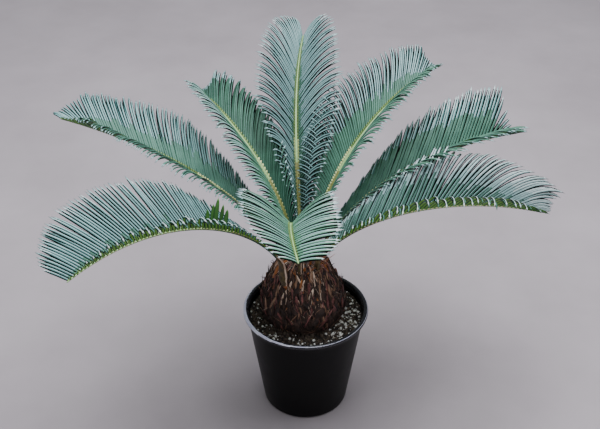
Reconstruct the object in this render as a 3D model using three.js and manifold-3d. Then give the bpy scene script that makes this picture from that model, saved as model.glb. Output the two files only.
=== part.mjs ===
// A sago palm in its round nursery pot, with the potting mix, the trunk and eight fronds.
// Millimetres, +Z up. The origin is the centre of the pot's flat underside, and -Y is the front.
import * as THREE from 'three';
import { mergeVertices } from 'three/addons/utils/BufferGeometryUtils.js';
import Module from 'manifold-3d';

const wasm = await Module();
wasm.setup();

// Pot: a tapered tub with a rolled rim
const POT_HEIGHT = 225;
const FOOT_RADIUS = 86;
const FOOT_ROUND = 7;
const RIM_RADIUS = 125;
const ROLL_RADIUS = 4.5;
const WALL_TOP_RADIUS = 117;
const WALL = 3;
const POT_SIDES = 48;

// Potting mix and the gap that neighbours keep to each other
const SOIL_LEVEL = 208;
const GAP = 0.3;

// Trunk: a barrel of old leaf bases, leaning a little to the left, with the crown on its top
const TRUNK_FOOT_SHIFT = -5;
const TRUNK_TOP_SHIFT = -8;
const TRUNK_TOP = 348;
const TRUNK_SIDES = 44;
const SCALE_COLUMNS = 11;
const SCALE_ROWS = 7;
const SCALE_DEPTH = 3.5;

// Fronds: thickness of the rib and size of the leaflets, which are fewer and wider than life
const RIB_ROOT_RADIUS = 4.8;
const RIB_TIP_RADIUS = 1;
const RIB_SIDES = 5;
const RIB_STEPS = 16;
const ROOT_DEPTH = 26;
const LEAFLET_PAIRS = 27;
const LEAFLET_WIDTH = 9.5;
const LEAFLET_THICKNESS = 1.7;
const FIRST_LEAFLET = 0.12;
const LAST_LEAFLET = 0.985;
const SWEEP_BACK = 0.3;
const BEND_POWER = 1.6;
const LEAN_PLACES = [0, 0.5, 0.86, 0.94];
const CLOSING_SHARE = 0.86;
const VEE_PLACES = [0, 0.5, 1];

// Each frond: where its stalk leaves the crown, the compass angle and slope at which it rises, how far
// it droops and turns by its tip, and its length and longest leaflet. On either side, close is how much
// shorter the last leaflets are, the lean of a leaflet is its angle to the rib and the vee its rise above
// the blade's plane, at their places along the rib, and the sag is how far it bends down.
const FRONDS = [
  {
    name: 'frond_front_left', rootAngle: 225, rootRadius: 42, rootHeight: 336,
    angle: 215, rise: 70, droop: 80, hook: 0.74, turn: 16, length: 530,
    leaf: 133, full: 0.58, ramp: 2.4, close: { left: 0.5, right: 0.1 },
    lean: { left: [32, 50, 64, 68], right: [100, 76, 59, 61] },
    vee: { left: [38, 50, 62], right: [0, 32, 55] },
    sag: { left: 0.7, right: 0.6 },
  },
  {
    name: 'frond_left', rootAngle: 165, rootRadius: 34, rootHeight: 342,
    angle: 166, rise: 75, droop: 68, hook: 0.46, turn: -2, length: 522,
    leaf: 138, full: 0.5, ramp: 1.2, close: { left: 0.6, right: 0.4 },
    lean: { left: [52, 61, 80, 86], right: [39, 49, 44, 22] },
    vee: { left: [38, 43, 51], right: [8, 31, 28] },
    sag: { left: 0.6, right: 0.6 },
  },
  {
    name: 'frond_back_left', rootAngle: 125, rootRadius: 30, rootHeight: 342,
    angle: 134, rise: 96, droop: 104, hook: 0.62, turn: -18, length: 446,
    leaf: 137, full: 0.5, ramp: 1.2, close: { left: 0.85, right: 0.8 },
    lean: { left: [24, 73, 96, 80], right: [22, 33, 34, 26] },
    vee: { left: [34, 55, 61], right: [70, 20, 54] },
    sag: { left: 0.6, right: 0.6 },
  },
  {
    name: 'frond_back', rootAngle: 92, rootRadius: 28, rootHeight: 342,
    angle: 96, rise: 61, droop: 46, hook: 0.7, turn: -14, length: 505,
    leaf: 132, full: 0.5, ramp: 1.2, close: { left: 0, right: 0 },
    lean: { left: [48, 66, 40, 26], right: [62, 58, 62, 40] },
    vee: { left: [76, 59, 54], right: [70, 52, 58] },
    sag: { left: 0.6, right: 0.6 },
  },
  {
    name: 'frond_back_right', rootAngle: 55, rootRadius: 28, rootHeight: 342,
    angle: 48, rise: 81, droop: 78, hook: 0.76, turn: -5, length: 492,
    leaf: 146, full: 0.5, ramp: 1.2, close: { left: 0.8, right: 0.9 },
    lean: { left: [68, 43, 32, 20], right: [38, 65, 92, 36] },
    vee: { left: [0, 32, 38], right: [56, 53, 53] },
    sag: { left: 0.6, right: 0.6 },
  },
  {
    name: 'frond_right_high', rootAngle: 20, rootRadius: 34, rootHeight: 342,
    angle: 22, rise: 80, droop: 87, hook: 0.5, turn: 6, length: 498,
    leaf: 140, full: 0.5, ramp: 1.2, close: { left: 0.9, right: 0.65 },
    lean: { left: [20, 40, 56, 18], right: [22, 56, 72, 46] },
    vee: { left: [0, 48, 72], right: [56, 46, 46] },
    sag: { left: 0.6, right: 0.6 },
  },
  {
    name: 'frond_right_low', rootAngle: 315, rootRadius: 36, rootHeight: 342,
    angle: 357, rise: 76, droop: 94, hook: 0.56, turn: 12, length: 474,
    leaf: 148, full: 0.5, ramp: 1.2, close: { left: 0.6, right: 0.7 },
    lean: { left: [24, 57, 36, 28], right: [42, 70, 91, 50] },
    vee: { left: [50, 64, 84], right: [47, 52, 46] },
    sag: { left: 1, right: 0.8 },
  },
  {
    name: 'frond_front', rootAngle: 265, rootRadius: 26, rootHeight: 342,
    angle: 259, rise: 77, droop: 80, hook: 1, turn: 22, length: 425,
    leaf: 113, full: 0.5, ramp: 1.2, close: { left: 0, right: 0 },
    lean: { left: [44, 45, 58, 60], right: [38, 58, 76, 70] },
    vee: { left: [53, 49, 39], right: [43, 44, 47] },
    sag: { left: 0.6, right: 0.6 },
  },
];

// Colours, roughness and metalness as in the photograph
const PLASTIC = { color: 0x17181a, roughness: 0.42, metalness: 0 };
const MIX = { color: 0x1c1714, roughness: 0.95, metalness: 0 };
const BARK = { color: 0x3d2a20, roughness: 0.9, metalness: 0 };
const LEAF = { color: 0x5f8e7e, roughness: 0.5, metalness: 0 };

const radians = THREE.MathUtils.degToRad;
const mix = THREE.MathUtils.lerp;

// Solids

function bare(geometry) {
  geometry.deleteAttribute('normal');
  geometry.deleteAttribute('uv');
  return mergeVertices(geometry, 1e-4);
}

function solid(geometry) {
  const closed = bare(geometry);
  return new wasm.Manifold(new wasm.Mesh({
    numProp: 3,
    vertProperties: new Float32Array(closed.attributes.position.array),
    triVerts: new Uint32Array(closed.index.array),
  }));
}

// The outer skin alone, without the scraps and sealed hollows that joining can leave
function wholeBody(manifold) {
  return manifold.decompose().reduce((kept, piece) => (piece.volume() > kept.volume() ? piece : kept));
}

function geometryOf(manifold) {
  const mesh = manifold.getMesh();
  const geometry = new THREE.BufferGeometry();
  geometry.setAttribute('position', new THREE.Float32BufferAttribute(mesh.vertProperties, 3));
  geometry.setIndex(new THREE.Uint32BufferAttribute(mesh.triVerts, 1));
  geometry.computeVertexNormals();
  return geometry;
}

function named(name, geometry, look) {
  const mesh = new THREE.Mesh(geometry, new THREE.MeshStandardMaterial(look));
  mesh.name = name;
  return mesh;
}

// A solid of revolution about Z, from a profile that runs up the outside from axis to axis
function turned(profile, sides) {
  const geometry = new THREE.LatheGeometry(profile, sides);
  geometry.rotateX(Math.PI / 2);
  return geometry;
}

function arc(centreX, centreZ, radius, from, to, steps) {
  return Array.from({ length: steps + 1 }, (_, i) => {
    const angle = radians(mix(from, to, i / steps));
    return new THREE.Vector2(centreX + radius * Math.cos(angle), centreZ + radius * Math.sin(angle));
  });
}

// Pot and potting mix

const ROLL_CENTRE = RIM_RADIUS - ROLL_RADIUS;
const ROLL_HEIGHT = POT_HEIGHT - ROLL_RADIUS;
const WALL_TOP = POT_HEIGHT - 2 * ROLL_RADIUS;

function innerRadius(height) {
  return mix(FOOT_RADIUS - WALL, WALL_TOP_RADIUS - WALL, height / WALL_TOP);
}

function pot() {
  const profile = [
    new THREE.Vector2(0, 0),
    ...arc(FOOT_RADIUS - FOOT_ROUND, FOOT_ROUND, FOOT_ROUND, -90, 0, 4),
    new THREE.Vector2(WALL_TOP_RADIUS, WALL_TOP),
    ...arc(ROLL_CENTRE, ROLL_HEIGHT, ROLL_RADIUS, -90, 180, 9),
    new THREE.Vector2(WALL_TOP_RADIUS - WALL, WALL_TOP),
    new THREE.Vector2(innerRadius(FOOT_ROUND), FOOT_ROUND),
    new THREE.Vector2(innerRadius(0) - FOOT_ROUND / 2, WALL),
    new THREE.Vector2(0, WALL),
  ];
  return turned(profile, POT_SIDES);
}

function pottingMix() {
  const floor = WALL + GAP;
  const profile = [
    new THREE.Vector2(0, floor),
    new THREE.Vector2(innerRadius(0) - FOOT_ROUND / 2 - 1, floor),
    new THREE.Vector2(innerRadius(FOOT_ROUND) - 1, FOOT_ROUND + GAP),
    new THREE.Vector2(innerRadius(SOIL_LEVEL) - GAP, SOIL_LEVEL),
    new THREE.Vector2(0, SOIL_LEVEL),
  ];
  return turned(profile, POT_SIDES);
}

// Trunk

const TRUNK_OUTLINE = new THREE.SplineCurve([
  new THREE.Vector2(70, SOIL_LEVEL + GAP),
  new THREE.Vector2(80, 224),
  new THREE.Vector2(83.5, 245),
  new THREE.Vector2(80, 268),
  new THREE.Vector2(71, 292),
  new THREE.Vector2(60, 312),
  new THREE.Vector2(50, 332),
  new THREE.Vector2(38, 343),
  new THREE.Vector2(20, TRUNK_TOP),
]);

function trunkShift(height) {
  const share = (height - SOIL_LEVEL) / (TRUNK_TOP - SOIL_LEVEL);
  return mix(TRUNK_FOOT_SHIFT, TRUNK_TOP_SHIFT, share);
}

// Old leaf bases stand out in slanting rows, like a pine cone's scales
function scaleRelief(angle, share) {
  const column = (angle / (2 * Math.PI)) * SCALE_COLUMNS;
  const row = share * SCALE_ROWS;
  const ridges = Math.cos(Math.PI * (column + row)) * Math.cos(Math.PI * (column - row));
  return SCALE_DEPTH * ridges * Math.sin(Math.PI * Math.min(1, share * 1.1));
}

function trunk(grow = 0) {
  const rows = SCALE_ROWS * 2 + 2;
  const outline = TRUNK_OUTLINE.getPoints(rows);
  const profile = [
    new THREE.Vector2(0, outline[0].y),
    ...outline,
    new THREE.Vector2(0, TRUNK_TOP),
  ];
  const geometry = turned(profile, TRUNK_SIDES);
  const place = geometry.attributes.position;
  for (let i = 0; i < place.count; i += 1) {
    const point = new THREE.Vector3().fromBufferAttribute(place, i);
    const radius = Math.hypot(point.x, point.y);
    const share = (point.z - outline[0].y) / (TRUNK_TOP - outline[0].y);
    const relief = radius > 1 ? scaleRelief(Math.atan2(point.y, point.x), share) + grow : 0;
    const stretch = radius > 1 ? (radius + relief) / radius : 1;
    const lift = share > 0.5 ? grow : 0;
    place.setXYZ(i, point.x * stretch + trunkShift(point.z), point.y * stretch, point.z + lift);
  }
  return bare(geometry);
}

// Fronds

// The rib is walked in short steps that droop and turn; at every step it has its own three directions
function walkRib(frond, steps) {
  const root = new THREE.Vector3(
    TRUNK_TOP_SHIFT + frond.rootRadius * Math.cos(radians(frond.rootAngle)),
    frond.rootRadius * Math.sin(radians(frond.rootAngle)),
    frond.rootHeight,
  );
  const frames = [];
  let point = root;
  let before = null;
  for (let i = 0; i <= steps; i += 1) {
    const share = i / steps;
    const slope = radians(frond.rise - frond.droop * share ** frond.hook);
    const compass = radians(frond.angle + frond.turn * share ** 1.5);
    const along = new THREE.Vector3(
      Math.cos(slope) * Math.cos(compass),
      Math.cos(slope) * Math.sin(compass),
      Math.sin(slope),
    );
    if (before) {
      const stride = before.clone().add(along).multiplyScalar(frond.length / steps / 2);
      point = point.clone().add(stride);
    }
    const side = new THREE.Vector3(Math.sin(compass), -Math.cos(compass), 0);
    frames.push({ point, along, side, up: side.clone().cross(along) });
    before = along;
  }
  return frames;
}

function frameAt(frames, share) {
  const place = share * (frames.length - 1);
  const i = Math.min(Math.floor(place), frames.length - 2);
  const between = (key) => frames[i][key].clone().lerp(frames[i + 1][key], place - i);
  return {
    point: between('point'),
    along: between('along').normalize(),
    side: between('side').normalize(),
    up: between('up').normalize(),
  };
}

function ribRadius(share) {
  return mix(RIB_ROOT_RADIUS, RIB_TIP_RADIUS, Math.max(0, share) ** 0.6);
}

// A cylinder bent along the rib; its lowest row reaches down into the crown
function rib(frames, frond, grow = 0) {
  const geometry = new THREE.CylinderGeometry(1, 1, 1, RIB_SIDES, RIB_STEPS);
  const place = geometry.attributes.position;
  const reach = ROOT_DEPTH / frond.length;
  for (let i = 0; i < place.count; i += 1) {
    const share = mix(-reach, 1, place.getY(i) + 0.5);
    const frame = frameAt(frames, Math.max(0, share));
    const radius = ribRadius(share) + grow;
    const point = frame.point
      .addScaledVector(frame.along, Math.min(0, share) * frond.length)
      .addScaledVector(frame.side, place.getX(i) * radius)
      .addScaledVector(frame.up, place.getZ(i) * radius);
    place.setXYZ(i, point.x, point.y, point.z);
  }
  return solid(geometry);
}

function sideKey(hand) {
  return hand < 0 ? 'left' : 'right';
}

// Leaflets are short near the stalk, longest at the middle and short again at the tip
function leafletLength(frond, share, hand) {
  const start = 0.04;
  const up = THREE.MathUtils.clamp((share - start) / (frond.full - start), 0, 1);
  const down = THREE.MathUtils.clamp((share - 0.5) / 0.5, 0, 1);
  const rising = 0.12 + 0.88 * Math.sin((up * Math.PI) / 2) ** frond.ramp;
  const falling = 0.2 + 0.8 * Math.sqrt(1 - down ** 3);
  const last = Math.sqrt(Math.max(0, share - CLOSING_SHARE) / (1 - CLOSING_SHARE));
  const closing = 1 - frond.close[sideKey(hand)] * last;
  return frond.leaf * rising * falling * closing;
}

// The value at a share of the rib's length, from those at a few places; past the last place it stays
function valueAt(places, values, share) {
  const reach = Math.min(share, places[places.length - 1]);
  const next = Math.max(1, places.findIndex((place) => place >= reach));
  const before = next - 1;
  return mix(values[before], values[next], (reach - places[before]) / (places[next] - places[before]));
}

// A leaflet's middle line leaves the rib at its lean and vee, then bends down and back
function leafletLine(frond, frame, share, hand, length) {
  const key = sideKey(hand);
  const lean = radians(valueAt(LEAN_PLACES, frond.lean[key], share));
  const vee = radians(valueAt(VEE_PLACES, frond.vee[key], share));
  const start = frame.along.clone().multiplyScalar(Math.cos(lean))
    .addScaledVector(frame.side, hand * Math.sin(lean) * Math.cos(vee))
    .addScaledVector(frame.up, Math.sin(lean) * Math.sin(vee));
  const steps = 8;
  const points = [frame.point.clone()];
  for (let i = 0; i < steps; i += 1) {
    const bend = ((i + 0.5) / steps) ** BEND_POWER;
    const heading = start.clone()
      .addScaledVector(frame.along, -SWEEP_BACK * bend)
      .add(new THREE.Vector3(0, 0, -frond.sag[key] * bend))
      .normalize();
    points.push(points[i].clone().addScaledVector(heading, length / steps));
  }
  return points;
}

// A blade of eight faces: an octahedron with its ends on the rib and at the leaflet's tip
function leaflet(line, frame, grow = 0) {
  const middle = line[3];
  const tip = line[line.length - 1];
  const heading = middle.clone().sub(line[0]).normalize();
  const across = frame.along.clone().addScaledVector(heading, -frame.along.dot(heading)).normalize();
  const through = heading.clone().cross(across);
  const geometry = new THREE.OctahedronGeometry(1);
  const place = geometry.attributes.position;
  for (let i = 0; i < place.count; i += 1) {
    const end = place.getX(i);
    const point = (end > 0.5 ? tip : end < -0.5 ? line[0] : middle).clone()
      .addScaledVector(heading, end * grow)
      .addScaledVector(across, place.getY(i) * (LEAFLET_WIDTH / 2 + grow))
      .addScaledVector(through, place.getZ(i) * (LEAFLET_THICKNESS / 2 + grow));
    place.setXYZ(i, point.x, point.y, point.z);
  }
  return solid(geometry);
}

function touches(body, others) {
  return others.some((other) => {
    const a = body.boundingBox();
    const b = other.boundingBox();
    const apart = [0, 1, 2].some((axis) => a.min[axis] > b.max[axis] || b.min[axis] > a.max[axis]);
    return !apart && body.intersect(other).volume() > 0;
  });
}

// Fronds grow one after another, and a leaflet that would touch another frond is cut shorter or left out
function fronds() {
  const crown = solid(trunk(GAP));
  const walks = FRONDS.map((frond) => walkRib(frond, 60));
  const ribs = FRONDS.map((frond, i) => rib(walks[i], frond).subtract(crown));
  const wideRibs = FRONDS.map((frond, i) => rib(walks[i], frond, 2 * GAP));
  const grown = [];
  FRONDS.forEach((frond, index) => {
    const others = [...grown, crown, ...wideRibs.filter((_, i) => i !== index)];
    let body = ribs[index];
    for (const hand of [-1, 1]) {
      for (let i = 0; i < LEAFLET_PAIRS; i += 1) {
        const share = mix(FIRST_LEAFLET, LAST_LEAFLET, i / (LEAFLET_PAIRS - 1));
        const frame = frameAt(walks[index], share);
        const full = leafletLength(frond, share, hand);
        for (const cut of [1, 0.8, 0.6, 0.4]) {
          const line = leafletLine(frond, frame, share, hand, full * cut);
          if (!touches(leaflet(line, frame, 2 * GAP), others)) {
            body = body.add(leaflet(line, frame));
            break;
          }
        }
      }
    }
    grown.push(wholeBody(body));
  });
  return grown.map((body, i) => named(FRONDS[i].name, geometryOf(body), LEAF));
}

const palm = new THREE.Group();
palm.add(named('pot', pot(), PLASTIC));
palm.add(named('potting_mix', pottingMix(), MIX));
palm.add(named('trunk', trunk(), BARK));
palm.add(...fronds());

export default palm;
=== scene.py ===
"""A potted sago palm: its looks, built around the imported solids. +Z is up and -Y is the front.

Lengths are in millimetres and angles in degrees. The camera and the lights are placed in metres.
"""

import math

import bpy
import numpy as np
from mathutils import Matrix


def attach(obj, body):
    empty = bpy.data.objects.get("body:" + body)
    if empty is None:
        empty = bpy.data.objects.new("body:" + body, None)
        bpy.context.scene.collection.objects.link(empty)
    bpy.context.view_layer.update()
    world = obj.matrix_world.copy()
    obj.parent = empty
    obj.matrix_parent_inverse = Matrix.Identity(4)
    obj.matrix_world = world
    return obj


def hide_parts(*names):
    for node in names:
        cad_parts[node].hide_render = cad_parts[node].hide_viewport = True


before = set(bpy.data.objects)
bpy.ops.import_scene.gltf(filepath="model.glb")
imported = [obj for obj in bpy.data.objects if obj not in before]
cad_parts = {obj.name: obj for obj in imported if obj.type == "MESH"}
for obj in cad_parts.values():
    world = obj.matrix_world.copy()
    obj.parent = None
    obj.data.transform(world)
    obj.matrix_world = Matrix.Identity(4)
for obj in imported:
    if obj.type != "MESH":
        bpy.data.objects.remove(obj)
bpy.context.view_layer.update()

MM = 0.001
UP = np.array([0.0, 0.0, 1.0])
POT_HEIGHT = 225

# Camera

# It looks down on the middle of the rim from this far off
VIEW_HEIGHT = 38.6
VIEW_DISTANCE = 2.008
VIEW_PITCH = -33.355
VIEW_YAW = 0.414
LENS = 60
SENSOR_WIDTH = 36


def add_camera():
    data = bpy.data.cameras.new("camera")
    data.lens = LENS
    data.sensor_width = SENSOR_WIDTH
    camera = bpy.data.objects.new("camera", data)
    bpy.context.scene.collection.objects.link(camera)
    height = math.radians(VIEW_HEIGHT)
    rim = POT_HEIGHT * MM
    camera.location = (0, -VIEW_DISTANCE * math.cos(height), rim + VIEW_DISTANCE * math.sin(height))
    camera.rotation_euler = (math.radians(90 + VIEW_PITCH), 0, math.radians(VIEW_YAW))
    bpy.context.scene.camera = camera


add_camera()

# Materials

# The stretches of the noise that are spread over the colours and the gloss
COLOURS_FROM, COLOURS_TO = 0.32, 0.68
GLOSS_FROM, GLOSS_TO = 0.3, 0.7
NOISE_ROUGHNESS = 0.6


def linear(code):
    """Linear red, green, blue and alpha of a six-digit colour code."""
    parts = [int(code[i:i + 2], 16) / 255 for i in (0, 2, 4)]
    return [c / 12.92 if c <= 0.04045 else ((c + 0.055) / 1.055) ** 2.4 for c in parts] + [1.0]


def stuff(name, colours, size, roughness, bump, depth, detail=4, specular=0.5):
    """A material whose colour, roughness and relief vary with noise of this size, to this depth."""
    colours = colours.split()
    made = bpy.data.materials.new(name)
    made.use_nodes = True
    nodes, links = made.node_tree.nodes, made.node_tree.links
    shader = nodes["Principled BSDF"]
    kinds = ("TexCoord", "TexNoise", "ValToRGB", "MapRange", "Bump")
    place, noise, ramp, gloss, relief = (nodes.new("ShaderNode" + kind) for kind in kinds)
    for node, socket, value in (
        (shader, "Specular IOR Level", specular), (noise, "Scale", 1 / MM / size), (noise, "Detail", detail),
        (noise, "Roughness", NOISE_ROUGHNESS), (gloss, "From Min", GLOSS_FROM), (gloss, "From Max", GLOSS_TO),
        (gloss, "To Min", roughness[0]), (gloss, "To Max", roughness[1]), (relief, "Strength", bump),
        (relief, "Distance", depth * MM),
    ):
        node.inputs[socket].default_value = value
    marks = ramp.color_ramp.elements
    while len(marks) < len(colours):
        marks.new(0.5)
    for i, colour in enumerate(colours):
        marks[i].position = COLOURS_FROM + (COLOURS_TO - COLOURS_FROM) * i / (len(colours) - 1)
        marks[i].color = linear(colour)
    for giver, out, taker, into in (
        (place, "Object", noise, "Vector"), (noise, "Fac", ramp, "Fac"), (noise, "Fac", gloss, "Value"),
        (ramp, "Color", shader, "Base Color"), (gloss, "Result", shader, "Roughness"),
        (noise, "Fac", relief, "Height"), (relief, "Normal", shader, "Normal"),
    ):
        links.new(giver.outputs[out], taker.inputs[into])
    return made


LEAF_UPPER = stuff("leaf_upper", "42706f 4e7e7c 5b8b89", 30, (0.4, 0.52), 0.15, 0.4, specular=0.26)
LEAF_DEEP = stuff("leaf_deep", "477164 527d6e 5e8c7b", 30, (0.42, 0.55), 0.15, 0.4, specular=0.32)
LEAF_FRESH = stuff("leaf_fresh", "5a8a70 6e9e84", 30, (0.42, 0.54), 0.15, 0.4, specular=0.3)
# Painted shade: a dark green for shaded sides near the rib, shaded margins and the rib's underside
LEAF_SHADE_GREEN = stuff("leaf_painted_shade", "294c3c 365e4a", 30, (0.48, 0.6), 0.15, 0.4, specular=0.2)
LEAF_UNDER = stuff("leaf_under", "559a1c 80c43a", 30, (0.45, 0.6), 0.15, 0.4)
LEAF_FOOT = stuff("leaf_foot", "eaf0a0 f8fac4", 12, (0.5, 0.6), 0.1, 0.3)
LEAF_GRASS = stuff("leaf_grass", "356a26 548c3c", 20, (0.45, 0.6), 0.15, 0.4)
LEAF_HEEL = stuff("leaf_heel", "76904e 90a86a", 12, (0.45, 0.6), 0.1, 0.3)
# Painted glint: the pale tips and the pale outer end of the highlight line
LEAF_TIP_GLINT = stuff("leaf_tip_glint", "c4d6d6 dce8e8", 12, (0.35, 0.5), 0.1, 0.3)
# Painted shade: the near-black rolled margins of the leaflets
LEAF_MARGIN_SHADE = stuff("leaf_margin_shade", "08130f 0e1f19", 20, (0.6, 0.75), 0.1, 0.3, specular=0.15)
# Painted highlight: the bright line along the leaflets
LEAF_PAINTED_HIGHLIGHT = stuff("leaf_painted_highlight", "93b8b8 acc9c9", 20, (0.3, 0.42), 0.1, 0.3, specular=0.4)
RIB_SKIN = stuff("rib_skin", "8bb06e a4c688", 22, (0.38, 0.52), 0.2, 0.4)
RIB_LOW = stuff("rib_low", "6f7338 84854a", 22, (0.4, 0.55), 0.2, 0.4)
STALK_SKIN = stuff("stalk_skin", "332a16 4a3c20 6b5632", 7, (0.5, 0.7), 0.5, 0.9)
BARK_DARK = stuff("bark_dark", "1b1210 33231d 4a352c", 9, (0.75, 0.95), 0.6, 1.2)
BARK_RED = stuff("bark_red", "5a3030 8a544e", 9, (0.6, 0.85), 0.5, 0.8)
BARK_BROWN = stuff("bark_brown", "6b4f3e a07a60", 9, (0.6, 0.85), 0.5, 0.8)
BARK_TAN = stuff("bark_tan", "b89a84 e6cdb9", 9, (0.5, 0.75), 0.4, 0.6)
BARK_ORANGE = stuff("bark_orange", "844c24 b87038", 9, (0.5, 0.8), 0.4, 0.6)
SOIL = stuff("soil", "0c0a09 201814 382f29", 5, (0.7, 1.0), 0.8, 1.5, detail=6)
SOIL_BIT = stuff("soil_bit", "1a1411 43372e 6e5f50", 6, (0.6, 0.9), 0.5, 0.8)
PERLITE = stuff("perlite", "eeeae2 fbfaf7", 2, (0.8, 0.95), 0.5, 0.4)
ROOT = stuff("root", "8b7a5e b8a582", 6, (0.6, 0.8), 0.3, 0.4)
PLASTIC = stuff("plastic", "060606 0a0a0a", 60, (0.36, 0.48), 0.05, 0.3, detail=8, specular=0.16)
# Painted sheen: the rim's plastic, lighter and bluer than the wall
RIM_PLASTIC_SHEEN = stuff("rim_plastic_sheen", "1b1b21 28282f", 24, (0.2, 0.34), 0.1, 0.3, detail=8)
# Painted highlight: the pale lilac streak along the rim's roll
RIM_PAINTED_HIGHLIGHT = stuff("rim_painted_highlight", "cdcbe6 ecebfa", 24, (0.16, 0.3), 0.1, 0.3, detail=8)
FLOOR = stuff("floor", "a89ea2 b6acb0", 400, (0.85, 0.95), 0.05, 0.5)

# Meshes from arrays


def piece(name, points, quads, tris, quad_slots, tri_slots, materials, smooth=True):
    """One mesh object from points, four-sided and three-sided faces and their material slots."""
    quads, tris = np.asarray(quads, int).reshape(-1, 4), np.asarray(tris, int).reshape(-1, 3)
    mesh = bpy.data.meshes.new(name)
    mesh.vertices.add(len(points))
    mesh.vertices.foreach_set("co", (np.asarray(points, float) * MM).astype(np.float32).ravel())
    corners = np.concatenate([quads.ravel(), tris.ravel()])
    sizes = np.concatenate([np.full(len(quads), 4), np.full(len(tris), 3)])
    mesh.loops.add(len(corners))
    mesh.loops.foreach_set("vertex_index", corners.astype(np.int32))
    mesh.polygons.add(len(sizes))
    mesh.polygons.foreach_set("loop_start", (np.cumsum(sizes) - sizes).astype(np.int32))
    mesh.polygons.foreach_set("material_index", np.concatenate([quad_slots, tri_slots]).astype(np.int32))
    mesh.polygons.foreach_set("use_smooth", np.full(len(sizes), smooth))
    mesh.update(calc_edges=True)
    mesh.validate()
    for material in materials:
        mesh.materials.append(material)
    made = bpy.data.objects.new(name, mesh)
    bpy.context.scene.collection.objects.link(made)
    return made


def unit(v):
    return v / np.linalg.norm(v, axis=-1, keepdims=True)


class Pile:
    """Gathers the points and faces of many small things that become one piece."""

    def __init__(self):
        self.parts, self.count = [], 0

    def add(self, points, quads, tris, quad_slots, tri_slots):
        quads = np.asarray(quads, int).reshape(-1, 4) + self.count
        tris = np.asarray(tris, int).reshape(-1, 3) + self.count
        self.parts.append((points, quads, tris, quad_slots, tri_slots))
        self.count += len(points)

    def join(self, name, materials, smooth=True):
        return piece(name, *[np.concatenate(part) for part in zip(*self.parts)], materials, smooth)


def sleeve(rows, sides):
    """The row and the side of each four-sided face between rings of points, and its corners."""
    i, j = (a.ravel() for a in np.meshgrid(np.arange(rows - 1), np.arange(sides), indexing="ij"))
    after = (j + 1) % sides
    corners = [i * sides + j, i * sides + after, (i + 1) * sides + after, (i + 1) * sides + j]
    return i, j, np.stack(corners, -1)


def caps(rows, sides):
    """The faces that close a sleeve's first and last ring, on the two points that follow its own."""
    turn = np.arange(sides)
    after = (turn + 1) % sides
    low, top = rows * sides, (rows - 1) * sides
    foot = np.stack([np.full(sides, low), after, turn], -1)
    head = np.stack([np.full(sides, low + 1), top + turn, top + after], -1)
    return np.concatenate([foot, head])


def blades(pile, lines, across, widths, ring, slot_of, depths=None):
    """Adds blades swept along lines (n, k, 3) to their pointed tips, with across (n, 3) and half widths and
    depths (n, k - 1). The ring is the section's (across, through) places, counterclockwise. slot_of gives
    slots for four-sided faces, in row i and at side j of m, then for m at each tip and m - 2 at each foot."""
    n, k, _ = lines.shape
    m = len(ring)
    heading = unit(np.concatenate([lines[:, 1:2] - lines[:, :1], lines[:, 2:] - lines[:, :-2]], axis=1))
    flat = unit(across[:, None] - (across[:, None] * heading).sum(-1, keepdims=True) * heading)
    through = np.cross(heading, flat)
    depths = widths if depths is None else depths
    body = (
        lines[:, :-1, None]
        + flat[:, :, None] * ring[:, :1] * widths[:, :, None, None]
        + through[:, :, None] * ring[:, 1:] * depths[:, :, None, None]
    )
    points = np.concatenate([body.reshape(n, -1, 3), lines[:, -1:]], axis=1)
    i, j, quads = sleeve(k - 1, m)
    turn = np.arange(m)
    last = (k - 2) * m
    tip = np.stack([last + turn, last + (turn + 1) % m, np.full(m, last + m)], -1)
    foot = np.stack([np.zeros(m - 2, int), turn[2:], turn[1:-1]], -1)
    tris = np.concatenate([tip, foot])
    shift = (np.arange(n) * points.shape[1])[:, None, None]
    pile.add(points.reshape(-1, 3), quads + shift, tris + shift, *slot_of(n, i, j, m))


def one_slot_each(slots):
    """Every blade is all of one slot."""
    def slot_of(n, i, j, m):
        return np.repeat(slots, len(i)), np.repeat(slots, 2 * m - 2)
    return slot_of


def turned(profile, sides, shape=None):
    """Points and faces of a profile of (radius, height) turned round Z, from axis to axis up the outside."""
    profile = np.asarray(profile, float)
    angle = np.arange(sides) * 2 * math.pi / sides
    middle = profile[1:-1]
    grid = np.stack([
        middle[:, None, 0] * np.cos(angle), middle[:, None, 0] * np.sin(angle),
        np.repeat(middle[:, 1:], sides, axis=1),
    ], -1)
    if shape is not None:
        grid = shape(grid, angle)
    ends = [[*grid[end].mean(0)[:2], profile[end, 1]] for end in (0, -1)]
    rows = len(middle)
    return np.concatenate([grid.reshape(-1, 3), ends]), sleeve(rows, sides)[2], caps(rows, sides)


def waves(points, size, seed, count=28):
    """Smooth seeded noise of about -1 to 1 over points, with bumps of this size."""
    rng = np.random.default_rng(seed)
    heading = unit(rng.normal(size=(count, 3))) * (2 * math.pi / size) * rng.uniform(0.5, 1.4, (count, 1))
    phase = rng.uniform(0, 2 * math.pi, count)
    return np.cos(points @ heading.T + phase).sum(-1) / math.sqrt(count)


def roughened(heights, points, kinds):
    """Heights with waves added to them: each kind has its height, size, seed and upright stretch."""
    return sum((h * waves(points * [1, 1, rise], size, seed) for h, size, seed, rise in kinds), heights)


# Fronds: the solids' rule, carried to the real number of leaflets

FROND_SEED = 40
CROWN_SHIFT = -8
RIB_STEPS = 60
TURN_POWER = 1.5
RIB_ROOT_RADIUS = 4.4
RIB_TIP_RADIUS = 1.2
TAPER_POWER = 0.6

# Shares of a rib's length
FIRST_LEAFLET = 0.09
LAST_LEAFLET = 0.99
LAST_ROOT = 0.998
SIDE_STAGGER = 0.002
CLIMB_START = 0.04
FALL_START = 0.5
CLOSING_START = 0.86
LEAN_PLACES = (0, 0.5, 0.86, 0.94)
VEE_PLACES = (0, 0.5, 1)

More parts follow.
